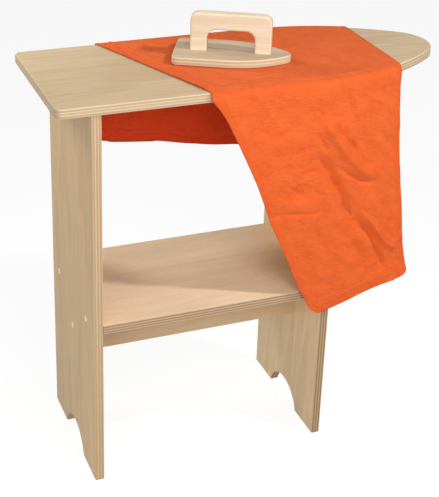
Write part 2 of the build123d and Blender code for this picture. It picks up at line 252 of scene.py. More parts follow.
def plywoodMaterial(node, kind, look=birchPlywood):
    material, tree, surface = newMaterial("birch ply " + node)
    (along, across, through), facing = boardPlace(tree, node, kind["grain"], kind["through"])
    depth = ramp(tree, through, 0.0, kind["thickness"] * mm, *look["depthRange"], smooth=False)
    seed = float(kind["seed"])
    plies = {"Depth": depth, "Plies": float(kind["plies"]), "Seed": seed}
    layers = useGroup(tree, plyLayers, plies)
    # every other ply lies crosswise
    lengthwise = combine(tree, along, across, through)
    crosswise = combine(tree, across, along, through)
    place = put(tree, "ShaderNodeMix", {0: layers["Crossed"], 4: lengthwise, 5: crosswise},
                data_type="VECTOR").outputs[1]
    figure = useGroup(tree, birchFigure, {"Place": place, "Seed": seed})
    shade = ramp(tree, weighed(tree, figure, look["shade"]), *look["shadeRange"])
    shade = calc(tree, "MULTIPLY", shade, kind["figure"], clamp=True)
    face = mixColour(tree, shade, white, look["figureTone"])
    face = mixColour(tree, 1.0, face, srgb(*kind["face"]), "MULTIPLY")
    # the sawn edges show each ply along or across its fibres
    squarely = put(tree, "ShaderNodeMix", {0: layers["Crossed"], 2: facing[0], 3: facing[1]},
                   data_type="FLOAT").outputs[0]
    endOn = ramp(tree, squarely, *look["endRange"])
    edge = tint(tree, look["longGrain"], endOn, kind["contrast"], look["endGrain"])
    dark = mixColour(tree, 1.0, edge, look["darkPly"], "MULTIPLY")
    edge = tint(tree, edge, layers["Tone"], look["plyShare"], dark)
    edge = tint(tree, edge, layers["Glue"], look["glueShare"] * kind["contrast"], look["glue"])
    edge = tint(tree, edge, figure["Streaks"], look["streakShare"], look["endGrain"])
    edge = mixColour(tree, 1.0, edge, srgb(*kind["edge"]), "MULTIPLY")
    flat = ramp(tree, facing[2], *look["faceRange"])
    colour = mixColour(tree, flat, edge, face)
    flecks = calc(tree, "MULTIPLY", figure["Flecks"], flat)
    colour = tint(tree, colour, flecks, look["fleckShare"], look["fleck"])
    masks = {"streaks": figure["Streaks"], "sawn": calc(tree, "SUBTRACT", 1.0, flat)}
    rough = weighed(tree, masks, look["roughening"], look["roughness"])
    masks = {"fibres": figure["Fibres"], "flecks": figure["Flecks"], "glue": layers["Glue"]}
    height = weighed(tree, masks, look["relief"])
    feed(tree, surface, {
        "Base Color": colour,
        "Roughness": rough,
        "Specular IOR Level": look["specular"],
        "Normal": bumpFrom(tree, height, look["bump"], look["bumpDepth"]),
    })
    return material


solidBirch = {
    "light": srgb(237, 222, 198),
    "dark": srgb(220, 199, 168),
    "endGrain": srgb(206, 172, 134),
    "fleck": srgb(196, 160, 122),
    "shade": {"Figure": 0.7, "Streaks": 0.6, "Fibres": 0.3},
    "shadeRange": (0.5, 1.1),
    "endRange": (0.55, 0.95),
    "fleckShare": 0.45,
    "roughness": 0.42, "roughening": {"Streaks": 0.12},
    "specular": 0.35,
    "bump": 0.08, "bumpDepth": 0.5,
}
# the plugs' end grain is very pale, partly a painted highlight on their domed ends
plugBirchWithHighlight = dict(solidBirch, endGrain=srgb(255, 230, 190), fleck=srgb(230, 196, 152))


def solidBirchMaterial(node, grain, through, seed, look):
    material, tree, surface = newMaterial("birch " + node)
    place, facing = boardPlace(tree, node, grain, through)
    figure = useGroup(tree, birchFigure, {"Place": combine(tree, *place), "Seed": float(seed)})
    shade = ramp(tree, weighed(tree, figure, look["shade"]), *look["shadeRange"])
    colour = mixColour(tree, shade, look["light"], look["dark"])
    colour = mixColour(tree, ramp(tree, facing[0], *look["endRange"]), colour, look["endGrain"])
    feed(tree, surface, {
        "Base Color": tint(tree, colour, figure["Flecks"], look["fleckShare"], look["fleck"]),
        "Roughness": weighed(tree, figure, look["roughening"], look["roughness"]),
        "Specular IOR Level": look["specular"],
        "Normal": bumpFrom(tree, figure["Fibres"], look["bump"], look["bumpDepth"]),
    })
    return material


axisX, axisY, axisZ = Vector((1, 0, 0)), Vector((0, 1, 0)), Vector((0, 0, 1))
toyIron = {
    "turn": -27.0,                          # degrees from the board's length
    "x": -91.0, "y": 38.0,                  # middle of the sole's square end
    "length": 172.0, "halfWidth": 46.5,
    "straight": 75.0,                       # from the square end to where the sole narrows
    "tipRoom": 8.0,                         # its outline runs to a point this far past the tip
    "room": (3.0, 13.0),                    # the cloth starts to rise, and is free, this far out
}
ironTurn = math.radians(toyIron["turn"])
ironAlong = Vector((math.cos(ironTurn), math.sin(ironTurn), 0))
ironAcross = Vector((-math.sin(ironTurn), math.cos(ironTurn), 0))

# grain and through: directions; face: its colour, partly painted light; figure: how strong the
# face's figure is;
# edge: multiplies the colour of the sawn edges; contrast: how clearly the plies show there
boards = {
    "ironing_board_top": {
        "grain": axisX, "through": axisZ, "thickness": 15.0, "plies": 7, "seed": 1,
        "face": (203, 178, 140), "figure": 1.0, "edge": (242, 244, 246), "contrast": 0.55},
    # the shelf's face is paler than the board's top, partly painted light on it
    "shelf": {
        "grain": axisX, "through": axisZ, "thickness": 15.0, "plies": 7, "seed": 4,
        "face": (240, 213, 177), "figure": 0.55, "edge": (226, 222, 222), "contrast": 0.9},
    "shelf_stretcher": {
        "grain": axisX, "through": axisY, "thickness": 15.0, "plies": 7, "seed": 7,
        "face": (215, 186, 148), "figure": 0.8, "edge": (240, 240, 240), "contrast": 0.8},
    "left_leg_panel": {
        "grain": axisZ, "through": axisX, "thickness": 15.0, "plies": 7, "seed": 10,
        "face": (216, 183, 133), "figure": 0.95, "edge": (234, 229, 221), "contrast": 0.5},
    # the right panel's face is paler than the left panel's, partly painted light on its inside
    "right_leg_panel": {
        "grain": axisZ, "through": axisX, "thickness": 15.0, "plies": 7, "seed": 13,
        "face": (233, 207, 164), "figure": 1.0, "edge": (220, 214, 208), "contrast": 1.2},
    "iron_soleplate": {
        "grain": ironAlong, "through": axisZ, "thickness": 12.0, "plies": 5, "seed": 16,
        "face": (204, 180, 149), "figure": 1.0, "edge": (242, 255, 255), "contrast": 0.3},
}
for node, kind in boards.items():
    setMaterial(node, plywoodMaterial(node, kind))

# grain, through, seed and look of the pieces in solid birch
sticks = {
    "iron_handle": (ironAlong, ironAcross, 2, solidBirch),
    "left_top_cleat": (axisY, axisZ, 7, solidBirch),
    "right_top_cleat": (axisY, axisZ, 12, solidBirch),
    "left_leg_plugs": (axisX, axisZ, 17, plugBirchWithHighlight),
    "right_leg_plugs": (axisX, axisZ, 22, plugBirchWithHighlight),
    "stretcher_dowels": (axisZ, axisX, 27, solidBirch),
}
for node, values in sticks.items():
    setMaterial(node, solidBirchMaterial(node, *values))

zincScrews = {
    "colour": srgb(196, 198, 202),
    "dull": srgb(150, 152, 156),
    "cloud": {"scale": (420.0, 420.0, 420.0), "detail": 3.0},
    "cloudRange": (0.4, 0.7),
    "roughness": 0.34, "roughening": 0.15,
    "bump": 0.1, "bumpDepth": 0.2,
}


def zincMaterial(look=zincScrews):
    material, tree, surface = newMaterial("zinc plated screws")
    place = put(tree, "ShaderNodeTexCoord").outputs["Object"]
    cloud = noiseAt(tree, place, **look["cloud"])
    dullness = ramp(tree, cloud, *look["cloudRange"])
    feed(tree, surface, {
        "Base Color": mixColour(tree, dullness, look["colour"], look["dull"]),
        "Metallic": 1.0,
        "Roughness": calc(tree, "MULTIPLY_ADD", cloud, look["roughening"], look["roughness"]),
        "Normal": bumpFrom(tree, cloud, look["bump"], look["bumpDepth"]),
    })
    return material


zinc = zincMaterial()
for node in nodes:
    if "screw" in node:
        setMaterial(node, zinc)
print("stage 2: wood and screws finished")


# the cloth: one sheet over the board, slanting, with its ends hanging in front and behind

board = {
    "length": 628.0, "depth": 240.0, "top": 622.0,
    "straight": 385.0,        # from the square end to where the sides curve in
    "nose": 58.0,             # radius
}
cloth = {
    "thickness": 1.2,
    "lift": 0.95,             # middle of the cloth above the board's top
    "bend": 10.0,             # radius where it turns over the board's edges
    "bendOut": 8.0,           # middle of the cloth beyond the board's edge, just under the bend
    "near": 4.9,              # the same lower down, where no fold is
    "nearRise": 0.08,         # share of the drop where it has left the board's edge
    "swellPlace": 0.2,        # share of the drop where it swells out most
    "reach": 12.2,            # outermost fold beyond the board's edge
    "cornerRadius": 14.0,
    # where its side edges cross the board's edges
    "leftBack": -188.0, "leftFront": -95.0, "right": 217.0,
    # points across it, and rows over the top, round each bend and round the corners of a hem
    "columns": 210, "topRows": 140, "bendRows": 9, "cornerRows": 14,
    # size and height of its small waves, on the drapes and on the top, with the seed there
    "waves": ((75, 0.6), (28, 0.36), (12, 0.14)),
    "topWaves": ((50, 0.28), (20, 0.10)), "topSeed": 5,
    # sines in each of them, their lengths as shares of its size, and what divides their sum
    "waveCount": 16, "waveSizes": (0.7, 1.6), "waveDivisor": 4,
    # shares of the drop over which the small waves set in and the folds get calmer, and over
    # which creases and waves lose the share hemCalm of their height
    "waveStart": (0.02, 0.15), "foldCalm": (0.6, 1.0), "hemStart": (0.93, 0.99), "hemCalm": 0.75,
    # share of the top's depth over which its relief sets in, behind and in front
    "topBack": 0.05, "topFront": 0.035,
    "creaseFade": 0.22,       # share of a crease's length over which it rises at each end
    # least gap to the board's edge, which sets in between two heights above the floor
    "gap": 0.3, "gapHeights": (560.0, 600.0),
    # beside the panels, from below the board's top by panelBelow and left of panelEnd, the cloth
    # is at least panelOut from the board's middle line
    "panelOut": 117.5, "panelBelow": 22.0, "panelEnd": 124.0,
    # hems at the ends and along the sides: width, how far they stand proud, half the step's width
    "endHem": 19.0, "endRise": 0.9, "endStep": 1.0,
    "sideHem": 8.0, "sideRise": 0.3, "sideStep": 1.2,
    "seamDepth": 0.35, "seamWidth": 1.1,    # groove that the thread pulls in
    "endPoints": 900, "sidePoints": 1600,   # on each border, from which the hems are measured
}
# way: 1 behind the board and -1 in front; hem and drop: place along the board and length down,
# of the left and the right edge; calm: how much lower the folds are at the hem
# folds: a fold's start across and down, where it meets the hem, half its width, its height
# bow: share of the drop, how far the left and the right edge swing out from a straight line
frontDrape = {
    "way": -1, "hem": (82.0, 247.0), "drop": (384.0, 343.0), "rows": 250,
    "calm": 0.75, "swell": 3.2, "seed": 3,
    "folds": ((0.25, 0.12, 0.28, 0.17, 0.26), (0.45, 0.30, 0.61, 0.13, -0.40),
              (0.74, 0.36, 0.86, 0.11, 0.60)),
    "bow": ((0.0, 0.0, 0.0), (0.025, 3.2, -1.0), (0.06, 6.6, -2.5), (0.1, 8.0, -3.5),
            (0.18, 8.6, -5.5), (0.26, 8.6, -6.5), (0.36, 8.0, -7.0), (0.45, 5.4, -6.6),
            (0.55, 1.5, -5.6), (0.64, 1.8, -5.2), (0.74, 0.8, -5.6), (0.8, -1.1, -6.4),
            (0.9, 0.0, -5.2), (1.0, 0.6, 0.0)),
}
backDrape = {
    "way": 1, "hem": (-240.0, 222.0), "drop": (153.0, 225.0), "rows": 100,
    "calm": 0.3, "swell": 1.0, "seed": 11,
    "folds": ((0.14, 0.20, 0.14, 0.07, -0.30), (0.31, 0.12, 0.31, 0.08, 0.60),
              (0.53, 0.20, 0.53, 0.08, -0.30), (0.66, 0.12, 0.67, 0.08, 0.45),
              (0.80, 0.20, 0.80, 0.06, -0.28), (0.93, 0.12, 0.92, 0.07, 0.45)),
    "bow": ((0.0, 0.0, 0.0), (0.5, 4.0, -4.0), (1.0, 0.0, 0.0)),
}
# creases: points along the board and up from the floor, half width, height
frontDrape["creases"] = (
    (((66, 526), (80, 500), (93, 478), (110, 447), (125, 420), (144, 392), (168, 356)), 10, -7.5),
    (((74, 575), (90, 549), (108, 523), (127, 498), (145, 479), (163, 467), (186, 458)), 8, 6.2),
    (((100, 492), (120, 476), (136, 464), (153, 454), (182, 446)), 4, -3.6),
    (((95, 556), (111, 536), (125, 520), (140, 502)), 5, -3.2),
    (((112, 566), (128, 540), (144, 512), (162, 480)), 6, 2.4),
    (((68, 546), (79, 528), (92, 508)), 5, -2.8),
    (((-6, 415), (10, 418), (26, 419), (51, 417), (71, 414), (98, 417)), 3.5, -1.9),
    (((-4, 440), (17, 441), (33, 435), (50, 430), (88, 428)), 10, 2.6),
    (((152, 408), (166, 391), (178, 376), (190, 359), (203, 343), (220, 333), (238, 332)),
     4.5, 5.4),
    (((156, 392), (170, 372), (182, 350), (191, 328), (199, 306), (207, 284)), 7, -6.0),
    (((204, 320), (214, 311), (222, 305), (236, 304)), 8, -2.2),
    (((212, 337), (223, 341), (237, 350)), 5, 1.8),
    (((178, 504), (186, 474), (194, 443), (207, 408)), 5, 2.2),
    (((174, 443), (194, 410), (210, 382), (225, 352)), 6, -2.4),
    (((204, 520), (212, 460), (219, 410), (226, 364)), 4, 1.8),
    (((-2, 541), (18, 550), (34, 557), (54, 562)), 5, -1.4),
    (((24, 509), (48, 520), (64, 522), (78, 516)), 4, -1.6),
    (((44, 478), (62, 484), (82, 481)), 4, -1.4),
    (((20, 474), (40, 454), (58, 444)), 5, -1.6),
    (((92, 372), (114, 341), (133, 325), (160, 310)), 7, 2.4),
    (((68, 404), (87, 367), (106, 326)), 8, -2.4),
    (((144, 356), (159, 325), (172, 302)), 9, -3.2),
    (((58, 384), (70, 350), (88, 312), (102, 286)), 8, 1.8),
    (((118, 604), (136, 580), (152, 560)), 9, 1.6),
    (((106, 596), (128, 573), (146, 548)), 8, -1.6),
    (((-20, 560), (10, 500), (42, 445)), 22, 2.0),
    (((20, 590), (45, 560), (60, 530)), 16, -1.4),
    (((36, 500), (52, 492), (70, 500), (84, 496)), 3, -1.1),
    (((30, 462), (48, 470), (66, 462), (84, 466)), 3, 1.1),
    (((60, 452), (78, 446), (96, 438)), 3, -1.2),
    (((40, 486), (56, 474), (74, 470)), 3, 1.0),
    (((128, 430), (140, 408), (148, 384)), 3.5, 1.6),
    (((110, 392), (124, 366), (134, 338)), 3.5, -1.4),
    (((188, 420), (200, 392), (214, 366)), 3, -1.4),
    (((214, 452), (222, 420), (228, 386)), 3, -1.2),
)
backDrape["creases"] = (
    (((-120, 600), (-105, 540), (-100, 480)), 12, 1.6),
    (((-30, 600), (-10, 540), (0, 470)), 11, -1.4),
    (((60, 600), (70, 540), (66, 460)), 12, 1.5),
    (((130, 590), (146, 530), (150, 450)), 12, -1.4),
    (((-190, 560), (-150, 540), (-120, 548)), 8, -1.0),
)
# the same on the board's top, in its own plane
topCreases = (
    (((-187, 150), (-171, 112), (-148, 52), (-130, 6), (-115, -34), (-101, -74), (-90, -104),
      (-76, -140)), 7.5, 6.2),
    (((-112, -22), (-100, -40), (-86, -60), (-66, -84)), 4.5, 2.8),
    (((-110, -110), (-70, -112), (-28, -113), (35, -114), (76, -113), (120, -109), (160, -101),
      (216, -82)), 12, 1.6),
    (((-200, 104), (-120, 102), (-30, 100), (80, 101), (160, 88), (206, 66)), 11, 1.6),
    (((-92, -44), (-58, -66), (-24, -78), (14, -80), (50, -88)), 7, 1.5),
    (((88, 100), (104, 40), (112, -10), (100, -70)), 13, 1.4),
    (((138, 96), (150, 40), (160, -10), (172, -70)), 12, 1.3),
    (((206, 84), (207, 30), (207, -30), (206, -76)), 5, 1.0),
)


def smoothStep(value, low, high):
    share = np.clip((value - low) / (high - low), 0, 1)
    return share * share * (3 - 2 * share)


def boardReach(x):
    # half the board's depth at x: straight, then an arc that runs into the round nose
    past = np.maximum(0, x + board["length"] / 2 - board["straight"])
    half = board["depth"] / 2
    run = board["length"] - board["nose"] - board["straight"]
    radius = (run ** 2 + half ** 2 - board["nose"] ** 2) / (2 * (half - board["nose"]))
    return half - radius + np.sqrt(radius ** 2 - past ** 2)


def smoothLine(points, count=26):
    # a curve through all the points
    points = np.array(points, float)
    ends = np.vstack([2 * points[0] - points[1], points, 2 * points[-1] - points[-2]])
    line = []
    for share in np.linspace(0, len(points) - 1, count):
        i = min(int(share), len(points) - 2)
        t = share - i
        a, b, c, d = ends[i:i + 4]
        line.append(0.5 * (2 * b + (c - a) * t + (2 * a - 5 * b + 4 * c - d) * t ** 2
                           + (3 * b - a - 3 * c + d) * t ** 3))
    return np.array(line)


def creaseHeight(x, y, creases):
    # each crease is a round ridge or valley beside its line, and fades out at both ends
    height = np.zeros(x.shape)
    for points, halfWidth, tallest in creases:
        line = smoothLine(points)
        nearest = np.full(x.shape, np.inf)
        along = np.zeros(x.shape)
        for i in range(len(line) - 1):
            start, step = line[i], line[i + 1] - line[i]
            share = ((x - start[0]) * step[0] + (y - start[1]) * step[1]) / (step @ step)
            share = np.clip(share, 0, 1)
            away = np.hypot(x - start[0] - share * step[0], y - start[1] - share * step[1])
            closer = away < nearest
            nearest = np.where(closer, away, nearest)
            along = np.where(closer, (i + share) / (len(line) - 1), along)
        rising = cloth["creaseFade"]
        fade = smoothStep(along, 0, rising) * smoothStep(1 - along, 0, rising)
        height += tallest * fade * np.exp(-(nearest / halfWidth) ** 2)
    return height


def foldLevel(folds, across, down):
    # a fold starts at a point and grows towards the hem
    level = np.zeros_like(across)
    for startAcross, startDown, hemAcross, halfWidth, height in folds:
        along = np.maximum(0, (down - startDown) / (1 - startDown))
        middle = startAcross + along * (hemAcross - startAcross)
        level = level + height * along * np.exp(-((across - middle) / halfWidth) ** 2)
    return level


def crumple(x, y, size, seed):
    # sum of slow waves in all directions, so the cloth is never quite flat
    total = np.zeros_like(x)
    draw = np.random.default_rng(seed)
    fullTurn = 6.28
    for _ in range(cloth["waveCount"]):
        turn = draw.uniform(0, math.pi)
        wave = 2 * math.pi / (size * draw.uniform(*cloth["waveSizes"]))
        phase = draw.uniform(0, fullTurn)
        total += np.sin((x * math.cos(turn) + y * math.sin(turn)) * wave + phase)
    return total / cloth["waveDivisor"]


def smoothBow(bow, column, down):
    # the rows of the bow joined by straight lines, with their corners rounded
    steps, rounding = 401, 12
    fine = np.linspace(0, 1, steps)
    swing = np.interp(fine, [row[0] for row in bow], [row[column] for row in bow])
    swing = np.pad(swing, rounding, mode="reflect", reflect_type="odd")
    window = np.hanning(2 * rounding + 3)[1:-1] / (rounding + 1)
    return np.interp(down, fine, np.convolve(swing, window, "valid"))


def hang(drape, topLeft, topRight, startZ):
    # rows of points from just under the bend down to the hem, closer together at its corners
    corner = 2 * cloth["cornerRadius"] / sum(drape["drop"])
    turns = np.radians(np.linspace(0, 90, cloth["cornerRows"]))[1:]
    down = np.concatenate([np.linspace(0, 1 - corner, drape["rows"]),
                           1 - corner * (1 - np.sin(turns))])[:, None]
    inset = np.concatenate([np.zeros(drape["rows"]),
                            cloth["cornerRadius"] * (1 - np.cos(turns))])[:, None]
    swings = [smoothBow(drape["bow"], column, down) for column in (1, 2)]
    across = np.linspace(0, 1, cloth["columns"])[None, :] + 0 * down
    left = topLeft + down * (drape["hem"][0] - topLeft) + inset + swings[0]
    right = topRight + down * (drape["hem"][1] - topRight) - inset + swings[1]
    x = left + across * (right - left)
    drop = drape["drop"][0] + across * (drape["drop"][1] - drape["drop"][0])
    z = startZ - down * (drop - (board["top"] - startZ))
    # how far out it hangs, with its folds
    leaving = smoothStep(down, 0, cloth["nearRise"])
    near = cloth["bendOut"] + (cloth["near"] - cloth["bendOut"]) * leaving
    swellAt = down / cloth["swellPlace"]
    near = near + drape["swell"] * swellAt * np.exp(1 - swellAt)
    out = boardReach(x) * (1 - down) + board["depth"] / 2 * down + near
    highest = foldLevel(drape["folds"], np.linspace(0, 1, 200), np.ones(200)).max()
    level = foldLevel(drape["folds"], across, down) / highest
    calm = 1 - drape["calm"] * smoothStep(down, *cloth["foldCalm"])
    out = out + (cloth["reach"] - cloth["near"]) * level * calm
    # creases and small waves
    settle = smoothStep(down, *cloth["waveStart"])
    ends = 1 - cloth["hemCalm"] * smoothStep(down, *cloth["hemStart"])
    out = out + creaseHeight(x, z, drape["creases"]) * ends
    out = out + settle * ends * sum(height * crumple(x, z, size, drape["seed"] + i)
                                    for i, (size, height) in enumerate(cloth["waves"]))
    # clear of the board's edge and of the panels
    clear = boardReach(x) + cloth["gap"] + cloth["thickness"] / 2
    clear = clear * smoothStep(z, *cloth["gapHeights"])
    byPanels = (z < board["top"] - cloth["panelBelow"]) & (x < cloth["panelEnd"])
    out = np.maximum(out, np.where(byPanels, cloth["panelOut"], clear))
    return np.stack([x, drape["way"] * out, z], 2)


def makeTop(backEdge, frontEdge):
    # rows from the back bend to the front bend, lying on the board
    share = np.linspace(0, 1, cloth["topRows"])[1:-1, None]
    top = backEdge[None] * (1 - share[:, :, None]) + frontEdge[None] * share[:, :, None]
    x, y = top[:, :, 0], top[:, :, 1]
    rise = creaseHeight(x, y, topCreases)
    for i, (size, height) in enumerate(cloth["topWaves"]):
        rise = rise + height * np.abs(crumple(x, y, size, cloth["topSeed"] + i))
    rise = rise * smoothStep(share, 0, cloth["topBack"])
    rise = rise * smoothStep(1 - share, 0, cloth["topFront"])
    # flat under the toy iron, with a little room round its sole
    alongIron = (x - toyIron["x"]) * ironAlong.x + (y - toyIron["y"]) * ironAlong.y
    acrossIron = (x - toyIron["x"]) * ironAcross.x + (y - toyIron["y"]) * ironAcross.y
    narrowing = toyIron["length"] + toyIron["tipRoom"] - toyIron["straight"]
    past = np.maximum(0, alongIron - toyIron["straight"]) / narrowing
    half = toyIron["halfWidth"] * np.sqrt(np.clip(1 - past ** 2, 0, 1))
    outside = np.maximum(-alongIron, alongIron - toyIron["length"])
    outside = np.maximum(outside, np.abs(acrossIron) - half)
    top[:, :, 2] = board["top"] + cloth["lift"] + rise * smoothStep(outside, *toyIron["room"])
    return top


def surfaceNormals(grid):
    normal = np.cross(np.gradient(grid, axis=0), np.gradient(grid, axis=1))
    return normal / np.linalg.norm(normal, axis=2)[:, :, None]


def makeCloth():
    # one grid of points, from the back hem over the board to the front hem
    bend = cloth["bend"]
    sideZ = board["top"] + cloth["lift"] - bend
    turns = np.radians(np.linspace(0, 90, cloth["bendRows"]))[:-1, None]
    drapes = []
    for drape, left in ((backDrape, cloth["leftBack"]), (frontDrape, cloth["leftFront"])):
        hanging = hang(drape, left, cloth["right"], sideZ)
        x, out = hanging[0, :, 0], np.abs(hanging[0, :, 1]) - bend
        turned = np.stack([x + 0 * turns, drape["way"] * (out + bend * np.sin(turns)),
                           sideZ + bend * np.cos(turns) + 0 * x], 2)
        drapes.append(np.concatenate([turned, hanging], 0))
    back, front = drapes
    return np.concatenate([back[::-1], makeTop(back[0], front[0]), front], 0)


def distanceFrom(grid, border):
    tree = kdtree.KDTree(len(border))
    for i, point in enumerate(border):
        tree.insert(point, i)
    tree.balance()
    return np.array([tree.find(point)[2] for point in grid.reshape(-1, 3)]).reshape(grid.shape[:2])


def finishHems(grid):
    # the doubled cloth of the hems stands proud, with a groove along each seam
    ends = [smoothLine(line, cloth["endPoints"]) for line in (grid[0], grid[-1])]
    sides = [smoothLine(line, cloth["sidePoints"]) for line in (grid[:, 0], grid[:, -1])]
    fromEnd = distanceFrom(grid, np.concatenate(ends)) - cloth["endHem"]
    fromSide = distanceFrom(grid, np.concatenate(sides)) - cloth["sideHem"]
    doubled = np.maximum(
        cloth["endRise"] * (1 - smoothStep(fromEnd, -cloth["endStep"], cloth["endStep"])),
        cloth["sideRise"] * (1 - smoothStep(fromSide, -cloth["sideStep"], cloth["sideStep"])))
    seam = np.where(np.abs(fromEnd) < np.abs(fromSide), fromEnd, fromSide)
    lift = doubled - cloth["seamDepth"] * np.exp(-(seam / cloth["seamWidth"]) ** 2)
    return grid + surfaceNormals(grid) * lift[:, :, None], seam


def newPiece(name, points, faces, smooth=True):
    # points in millimetres
    mesh = bpy.data.meshes.new(name)
    mesh.from_pydata((np.array(points) * mm).tolist(), [], faces)
    mesh.polygons.foreach_set("use_smooth", [smooth] * len(mesh.polygons))
    piece = bpy.data.objects.new(name, mesh)
    bpy.context.scene.collection.objects.link(piece)
    return piece


def pieceFromGrid(name, grid, seam):
    rows, columns = grid.shape[:2]
    corners = [r * columns + c for r in range(rows - 1) for c in range(columns - 1)]
    faces = [(a, a + 1, a + columns + 1, a + columns) for a in corners]
    piece = newPiece(name, grid.reshape(-1, 3), faces)
    # the cloth laid flat, in metres, for its weave, and how far a point is from the nearest seam
    lengthwise = np.concatenate([np.zeros((1, columns)),
                                 np.cumsum(np.linalg.norm(np.diff(grid, axis=0), axis=2), 0)], 0)
    crosswise = np.concatenate([np.zeros((rows, 1)),
                                np.cumsum(np.linalg.norm(np.diff(grid, axis=1), axis=2), 1)], 1)
    flat = np.stack([crosswise, lengthwise, seam], 2).reshape(-1, 3) * mm
    attribute = piece.data.attributes.new("clothPlace", "FLOAT_VECTOR", "POINT")
    attribute.data.foreach_set("vector", flat.astype(np.float32).ravel())
    return piece


# thread of the hems
stitches = {
    "pitch": 3.3, "length": 2.3, "thread": 0.5,
    "margin": 6.0,            # without stitches at each end of a seam
    "inside": 30.0,           # a seam this far below the board's top shows on both faces
    "proud": 0.05,            # middle of the thread above the cloth
    "wide": 1.15,             # width of the thread as a share of its height
    # rings of points: their place along a stitch and their size, as shares, and points on each
    "rings": ((-0.46, 0.55), (0.0, 1.0), (0.46, 0.55)), "sides": 6,
    "tips": (-0.56, 0.56), "tipDepth": 0.12,
    "slope": 1.0,             # half the length over which a seam's direction is read
}


def seamLines(grid, normals):
    # points on each seam with the cloth's normal there, found by walking in from each border
    lines = []
    for flip in (False, True):
        for transpose, width in ((False, cloth["endHem"]), (True, cloth["sideHem"])):
            places, ups = (a.transpose(1, 0, 2) if transpose else a for a in (grid, normals))
            if flip:
                places, ups = places[::-1], ups[::-1]
            run = np.cumsum(np.linalg.norm(np.diff(places, axis=0), axis=2), 0)
            line = []
            for c in range(places.shape[1]):
                r = int(np.searchsorted(run[:, c], width))
                if r + 1 < len(places):
                    before = run[r - 1, c] if r else 0.0
                    t = (width - before) / (run[r, c] - before)
                    line.append(np.concatenate([places[r, c] * (1 - t) + places[r + 1, c] * t,
                                                ups[r, c] * (1 - t) + ups[r + 1, c] * t]))
            lines.append(np.array(line))
    return lines


def stitchFaces(first, sides):
    # two bands round the stitch and a cone at each tip
    faces = []
    tip = first + 3 * sides
    for k in range(sides):
        n = (k + 1) % sides
        a, b, c = first, first + sides, first + 2 * sides
        faces += [(a + k, a + n, b + n, b + k), (b + k, b + n, c + n, c + k),
                  (tip, a + n, a + k), (tip + 1, c + k, c + n)]
    return faces


def makeStitches(grid):
    vertices, faces = [], []
    length, margin, slope = stitches["length"], stitches["margin"], stitches["slope"]
    sides, wide, thread = stitches["sides"], stitches["wide"], stitches["thread"]
    circle = [(math.cos(a), math.sin(a)) for a in np.radians(np.arange(0, 360, 360 // sides))]
    for line in seamLines(grid, surfaceNormals(grid)):
        steps = np.linalg.norm(np.diff(line[:, :3], axis=0), axis=1)
        run = np.concatenate([[0], np.cumsum(steps)])
        for middle in np.arange(margin, run[-1] - margin, stitches["pitch"]):
            before, here, after = (np.array([np.interp(s, run, values) for values in line.T])
                                   for s in (middle - slope, middle, middle + slope))
            along = (after - before)[:3] / np.linalg.norm((after - before)[:3])
            up = here[3:] / np.linalg.norm(here[3:])
            side = np.cross(along, up)
            hanging = here[2] < board["top"] - stitches["inside"]
            for way in (1, -1) if hanging else (1,):
                centre = here[:3] + up * way * (cloth["thickness"] / 2 + stitches["proud"])
                faces += stitchFaces(len(vertices), sides)
                vertices += [centre + along * share * length
                             + (side * c * wide + up * s) * size * thread / 2
                             for share, size in stitches["rings"] for c, s in circle]
                vertices += [centre + along * tip * length - up * way * stitches["tipDepth"]
                             for tip in stitches["tips"]]
    return newPiece("hem_stitches", vertices, faces)


grid, seam = finishHems(makeCloth())
clothPiece = pieceFromGrid("draped_cloth", grid, seam)
solid = clothPiece.modifiers.new("thickness", "SOLIDIFY")
solid.thickness = cloth["thickness"] * mm
solid.offset = 0.0
# the face away from the board takes the second material, and so does the rim
solid.material_offset = 1
solid.material_offset_rim = 1
stitchPiece = makeStitches(grid)
pointsEach = len(stitches["rings"]) * stitches["sides"] + len(stitches["tips"])
print("stage 3: cloth draped,", len(clothPiece.data.vertices), "points,",
      len(stitchPiece.data.vertices) // pointsEach, "stitches")

orangeCotton = {              # scales are features a metre, across and along the cloth
    "outside": (srgb(227, 100, 45), srgb(218, 89, 37)),
    # the side towards the board is a deeper red than the outside: painted shade and red bounce
    # light
    "inside": (srgb(236, 78, 38), srgb(226, 70, 34)),
    "thread": srgb(244, 132, 74),
    "cloud": {"scale": (38.0, 38.0, 0.0), "detail": 4.0, "distortion": 0.4},
    "slub": {"scale": (60.0, 900.0, 0.0)},
    "shade": {"cloud": 0.8, "slub": 0.4}, "shadeRange": (0.42, 0.85),
    "seamWidth": 1.5, "seamShadeShare": 0.8,
    "doubledStep": 0.6, "doubledShare": 0.55,
    "roughness": 0.88,
    "sheen": 0.2, "sheenRoughness": 0.5, "sheenTint": srgb(255, 170, 120),
    "specular": 0.12,
    "threadPitch": 0.55,      # from thread to thread
    "weave": {"ribs": 0.35, "over": 0.3},
    "wrinkles": {"scale": (150.0, 150.0, 0.0), "detail": 4.0, "distortion": 0.5},
    "puckers": {"scale": (260.0, 260.0, 0.0)},
    "puckerWidth": 9.0,
    "crinkles": {"scale": (48.0, 72.0, 0.0), "detail": 3.0, "distortion": 1.2},
    "crinkleWidth": 0.05,     # in the noise's own height
    "relief": {"weave": 0.22, "wrinkles": 0.8, "puckers": 0.9, "seam": -0.6, "crinkles": -0.9},
    "bump": 0.5, "bumpDepth": 1.5,
    "twist": {"scale": (1500.0, 1500.0, 1500.0), "detail": 1.0},
    "threadRoughness": 0.7, "threadBump": 0.3, "threadBumpDepth": 0.3,
}


